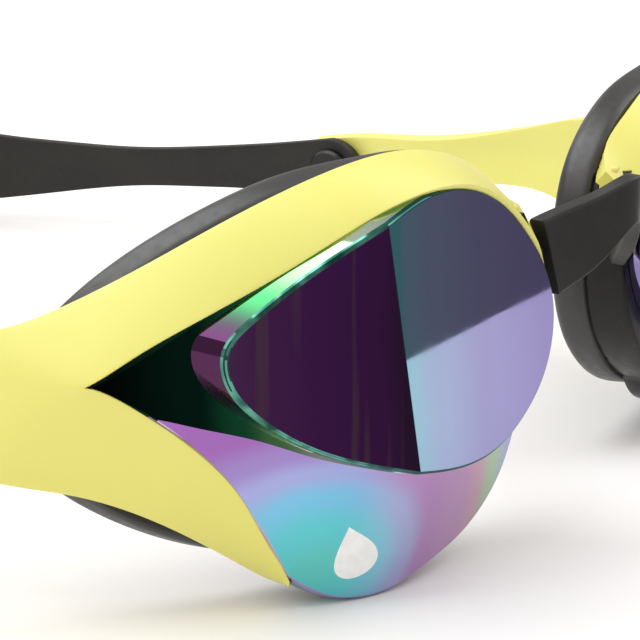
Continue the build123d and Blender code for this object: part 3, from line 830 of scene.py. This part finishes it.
def lens_coating():
    """A coloured mirror coating whose tint drifts over the lens as the layer's thickness does, with
    painted highlights and painted dark reflection laid into the tint on the flange and the screen's
    edges.
    """
    m = Nodes("lens_mirror_coating")
    x = m.math("MULTIPLY", m.math("ABSOLUTE", m.axis(0)), 1000.0)
    z = m.math("MULTIPLY", m.axis(2), 1000.0)
    ripple = m.remap(m.noise(45, 2), 0.3, 0.7, -1.1, 1.1)
    # chin: rings of tint round a cyan middle, violet to the temple, rose then green to the nose
    across = m.math("POWER", m.math("SUBTRACT", x, 47.0), 2.0)
    upward = m.math("POWER", m.math("SUBTRACT", z, 5.0), 2.0)
    ring = m.math("ADD", m.math("SQRT", m.math("ADD", across, upward)), ripple)
    ring = m.remap(ring, 0.0, 28.0)
    outer = m.ramp(ring, [(0.0, "66C6C0"), (0.17, "64C6CC"), (0.31, "78BADA"), (0.42, "9CA2D2"),
                          (0.53, "967FBA"), (0.66, "9664AA"), (1.0, "9A63AC")])
    nose = m.ramp(ring, [(0.0, "70CCC6"), (0.2, "8EC6DA"), (0.33, "A8B0D6"), (0.45, "B48CBE"),
                         (0.66, "B992BC"), (0.76, "C09AB0"), (0.88, "A2BC9E"), (1.0, "9EA4CA")])
    chin = m.mix(m.remap(x, 39.0, 46.0, smooth=True), nose, outer)
    # screen: lavender facing forward, plum with faint upright streaks on the facet that faces the temple
    forward = m.ramp(m.remap(m.math("ADD", x, ripple), 12.0, 41.0), [
        (0.0, "8A81B2"), (0.45, "938FBC"), (0.8, "96A3C4"), (0.95, "8CB0C4"), (1.0, "6CB8BE")])
    streak = m.noise(1.0, 2, m.stretch((560, 560, 16), (0, 0.12, 0)))
    plum = m.ramp(m.remap(m.math("ADD", x, ripple), 40.0, 59.0), [
        (0.0, "503355"), (0.2, "683473"), (0.5, "71387E"), (0.8, "7C4285"), (1.0, "834D8A")])
    plum = m.mix(m.remap(streak, 0.56, 0.68, 0.0, 0.45), plum, srgb("8C7468"))
    crease_x = m.math("ADD", m.math("MULTIPLY", z, 0.1103), 38.21)
    on_temple = m.remap(m.math("SUBTRACT", x, crease_x), -0.05, 0.05)
    screen = m.mix(on_temple, forward, plum)
    # upper flange: lavender, then a pale green to near-white band beside the crease that is a painted
    # highlight, then deep green, then nearly black towards the tip as painted dark reflection
    flange = m.ramp(m.remap(m.math("ADD", x, ripple), 12.0, 66.0), [
        (0.0, "8A81B2"), (0.4, "8C8CBC"), (0.58, "B4DCC4"), (0.68, "F0FFE6"), (0.76, "7CC078"),
        (0.81, "2C7E52"), (0.87, "14382A"), (1.0, "0A100E")])
    # top of the screen's side wall: green coating tint lightened to pale green near the crease as a
    # painted highlight
    wall_top_tint_and_painted_highlight = m.ramp(m.remap(m.math("ADD", x, ripple), 40.0, 58.0), [
        (0.0, "A0C5B2"), (0.3, "D6E8D0"), (0.55, "8CC684"), (0.8, "3F8C58"), (1.0, "1F4A34")])
    wall_side = m.ramp(m.remap(x, 20.0, 60.0), [
        (0.0, "7F88B8"), (0.5, "6F8F8C"), (0.7, "4A3050"), (1.0, "4E2A4C")])
    wall = m.mix(m.remap(z, 32.0, 36.0, smooth=True), wall_side, wall_top_tint_and_painted_highlight)
    # the screen's bevel rim: green-teal flecks painted in as highlights along the bevel
    rim = m.ramp(m.noise(220, 2), [(0.3, "1F4A40"), (0.5, "5C9C8C"), (0.62, "2C5A50"), (0.8, "8FC8A0")])
    zone = m.node("ShaderNodeAttribute", attribute_name="zone").outputs["Fac"]
    colour = flange
    chin_rim = m.ramp(m.noise(150, 2), [(0.35, "A894C8"), (0.65, "B8A6D4")])
    # darker teal on the rim towards the nose: painted shade that dims the lamp's glint there
    rim = m.mix(m.remap(x, 40.0, 46.0), srgb("265552"), rim)
    for index, part in enumerate((chin, screen, wall, rim, chin_rim)):
        colour = m.mix(m.remap(zone, index + 0.49, index + 0.51), colour, part)
    m.put(Base_Color=colour, Metallic=1.0, Roughness=m.remap(m.noise(260, 2), 0.3, 0.7, 0.02, 0.045))
    m.bump(m.noise(70, 1), 0.03, 0.0004)
    return m.material


def lens_inside():
    m = Nodes("lens_inside_tint")
    tone = m.ramp(m.noise(40, 2), [(0.3, "16121A"), (0.7, "251C22")])
    m.put(Base_Color=tone, Roughness=m.remap(m.noise(300, 2), 0.3, 0.7, 0.05, 0.1),
          Coat_Weight=0.5, Coat_Roughness=0.03)
    return m.material


def painted_white():
    m = Nodes("pad_printed_white")
    tone = m.ramp(m.noise(700, 2), [(0.3, "F4F4F2"), (0.7, "FDFDFC")])
    m.put(Base_Color=tone, Roughness=m.remap(m.noise(500, 2), 0.3, 0.7, 0.34, 0.46))
    m.bump(m.noise(2500, 2), 0.1, 0.00002)
    return m.material


# ---------------------------------------------------------------- printed drop
DROP_X, DROP_Z, DROP_HALF, DROP_LEAN = 43.6, 6.3, 3.4, 0.35
DROP_LIFT, DROP_DEPTH = 0.035, 0.2


def build_drop(side, mirrored, material):
    """A plain water drop printed on the chin, as a thin raised patch."""
    points = []
    for angle in np.linspace(0, 2 * math.pi, 65)[:-1]:
        u = 0.92 * math.sin(angle) * math.sin(angle / 2) ** 1.4
        v = -math.cos(angle)
        points.append((DROP_X + DROP_HALF * (u * math.cos(DROP_LEAN) - v * math.sin(DROP_LEAN)),
                       DROP_Z - DROP_HALF * (u * math.sin(DROP_LEAN) + v * math.cos(DROP_LEAN))))
    made, triangles = fill(points, 0.5)
    count = len(made)
    vertices = [(x, flange_depth(x, z) - DROP_LIFT, z) for x, z in made]
    vertices += [(x, flange_depth(x, z) + DROP_DEPTH, z) for x, z in made]
    faces = [facing(vertices, f, (0, -1, 0)) for f in triangles]
    faces += [facing(vertices, [count + i for i in f], (0, 1, 0)) for f in triangles]
    rim = len(points)
    faces += [[i, (i + 1) % rim, count + (i + 1) % rim, count + i] for i in range(rim)]
    mesh = mesh_from(f"{side}_printed_drop", vertices, faces, mirrored)
    outward_normals(mesh)
    piece = new_object(f"{side}_printed_drop", mesh)
    shade_smooth(piece, 40)
    return finish_piece(piece, "eyepieces", "lens", [material])


# ---------------------------------------------------------------- the goggles
yellow = moulded_yellow()
coating, inside = lens_coating(), lens_inside()
seal_rubber = rubber("seal_rubber", "141311", "1E1D1A", 0.4, 0.8)
carrier_plastic = rubber("carrier_plastic", "080807", "0F0E0D", 0.32, 0.3, 700.0)
strap_silicone = rubber("strap_silicone", "181714", "22201C", 0.5, 0.4, 800.0)
bridge_plastic = rubber("bridge_plastic", "20201E", "2A2927", 0.42, 0.5, 1000.0)
button_plastic = rubber("button_plastic", "0E0D0C", "161514", 0.34, 0.4)
clip_plastic = rubber("clip_plastic", "0E0D0C", "171614", 0.32, 0.4)
white_paint = painted_white()

# the right strap half laps behind the left one inside the clip
for side, mirrored, rear in (("left", False, REAR_Y), ("right", True, REAR_Y + LAP_GAP + STRAP_THICK)):
    build_frame(side, mirrored, yellow)
    build_nose_lug(side, mirrored, yellow)
    build_lens(side, mirrored, coating, inside)
    build_gasket(side, mirrored, seal_rubber)
    build_drop(side, mirrored, white_paint)
    build_strap(side, mirrored, rear, strap_silicone)
    dress_node(f"{side}_lens_carrier", carrier_plastic, 0.25)
    dress_node(f"{side}_strap_button", button_plastic, 0.2)
build_bridge(bridge_plastic)
dress_node("rear_clip", clip_plastic, 0.3)

# ---------------------------------------------------------------- floor, light and camera
# the stage is drawn in metres of the row frame
FLOOR_HALF = 3
CARD_ENDS, CARD_HEIGHT = ((-1.2, 0.066), (1.2, -0.391)), 0.031
PATCH_X, PATCH_Y, PATCH_Z = (-0.3, -0.036), (-0.6, -0.122), 0.0004


def stage_panel(name, corners, material, reflections_only=False):
    """A four-cornered panel of the stage. Some are there only for what the lenses reflect."""
    mesh = bpy.data.meshes.new(name)
    mesh.from_pydata(corners, [], [(0, 1, 2, 3)])
    panel = new_object(name, mesh)
    panel.data.materials.append(material)
    if reflections_only:
        for ray in ("camera", "diffuse", "shadow", "transmission"):
            setattr(panel, f"visible_{ray}", False)


def flat_corners(x_range, y_range, z):
    (x0, x1), (y0, y1) = x_range, y_range
    return [(x0, y0, z), (x1, y0, z), (x1, y1, z), (x0, y1, z)]


floor_look = Nodes("floor_paper")
floor_tone = floor_look.ramp(floor_look.noise(6, 2), [(0.3, "F2F0EE"), (0.7, "F6F4F3")])
floor_look.put(Base_Color=floor_tone, Roughness=0.75, Specular_IOR_Level=0.2)
floor_span = (-FLOOR_HALF, FLOOR_HALF)
stage_panel("floor", flat_corners(floor_span, floor_span, 0), floor_look.material)

# a low card in front of the lenses and a patch just above the floor beside them, both glowing a dim grey
# and seen only in the lenses' reflections: a painted dark reflection standing in for the dim room
reflection_glow_look = Nodes("reflection_glow_card")
reflection_glow_look.put(Base_Color=srgb("000000"), Roughness=1.0, Specular_IOR_Level=0.0, Emission_Strength=1.0)
reflection_glow_look.shader.inputs["Emission Color"].default_value = (0.211, 0.203, 0.22, 1)
card_foot = [(x, y, 0) for x, y in CARD_ENDS]
card_top = [(x, y, CARD_HEIGHT) for x, y in reversed(CARD_ENDS)]
stage_panel("reflection_glow_card", card_foot + card_top, reflection_glow_look.material, True)
stage_panel("reflection_glow_patch", flat_corners(PATCH_X, PATCH_Y, PATCH_Z), reflection_glow_look.material, True)

world = bpy.data.worlds.new("studio")
bpy.context.scene.world = world
world.use_nodes = True
background = world.node_tree.nodes["Background"]
background.inputs["Color"].default_value = (1.0, 0.965, 0.935, 1)
background.inputs["Strength"].default_value = 0.56
COOL_WHITE = (0.97, 0.985, 1.0)


def soft_light(name, at, towards, size, power, colour=(1, 1, 1)):
    """A rectangular lamp, placed and aimed in metres of the row frame."""
    lamp = bpy.data.lights.new(name, "AREA")
    lamp.shape = "RECTANGLE"
    lamp.size, lamp.size_y = size
    lamp.energy = power
    lamp.color = colour
    holder = bpy.data.objects.new(name, lamp)
    bpy.context.scene.collection.objects.link(holder)
    holder.location = at
    holder.rotation_euler = (Vector(towards) - Vector(at)).to_track_quat("-Z", "Y").to_euler()


soft_light("key_softbox", (-0.3, 0.36, 0.78), (-0.02, 0, 0), (0.75, 0.75), 5.8, COOL_WHITE)
soft_light("front_softbox", (0.42, -0.34, 0.7), (-0.02, 0, 0), (0.75, 0.75), 3.6, COOL_WHITE)
soft_light("side_softbox", (-0.75, 0.1, 0.5), (0, 0, 0.02), (0.6, 0.5), 1.2)
soft_light("back_softbox", (0.35, 0.8, 0.5), (0, 0, 0.02), (0.7, 0.5), 1.2)

# the camera: where it stands, as a drawn point, and how it is turned, in radians
CAMERA_POINT = (-266.52, -137.20, 111.86)
AZIMUTH, ELEVATION, ROLL = -0.9774, 0.2905, 0.0153
FOCAL_LENGTH, SENSOR = 148.57, 36.0
forward = Vector((-math.sin(AZIMUTH) * math.cos(ELEVATION), math.cos(AZIMUTH) * math.cos(ELEVATION),
                  -math.sin(ELEVATION)))
level_right = Vector((math.cos(AZIMUTH), math.sin(AZIMUTH), 0))
level_up = level_right.cross(forward)
right = math.cos(ROLL) * level_right + math.sin(ROLL) * level_up
up = math.cos(ROLL) * level_up - math.sin(ROLL) * level_right
camera_data = bpy.data.cameras.new("camera")
camera_data.lens = FOCAL_LENGTH
camera_data.sensor_width = SENSOR
camera_data.clip_start = 0.01
camera = bpy.data.objects.new("camera", camera_data)
bpy.context.scene.collection.objects.link(camera)
turn = Matrix((right, up, -forward)).transposed().to_4x4()
camera.matrix_world = Matrix.Translation(place(*CAMERA_POINT)) @ turn
bpy.context.scene.camera = camera
bpy.context.scene.view_settings.view_transform = "Standard"
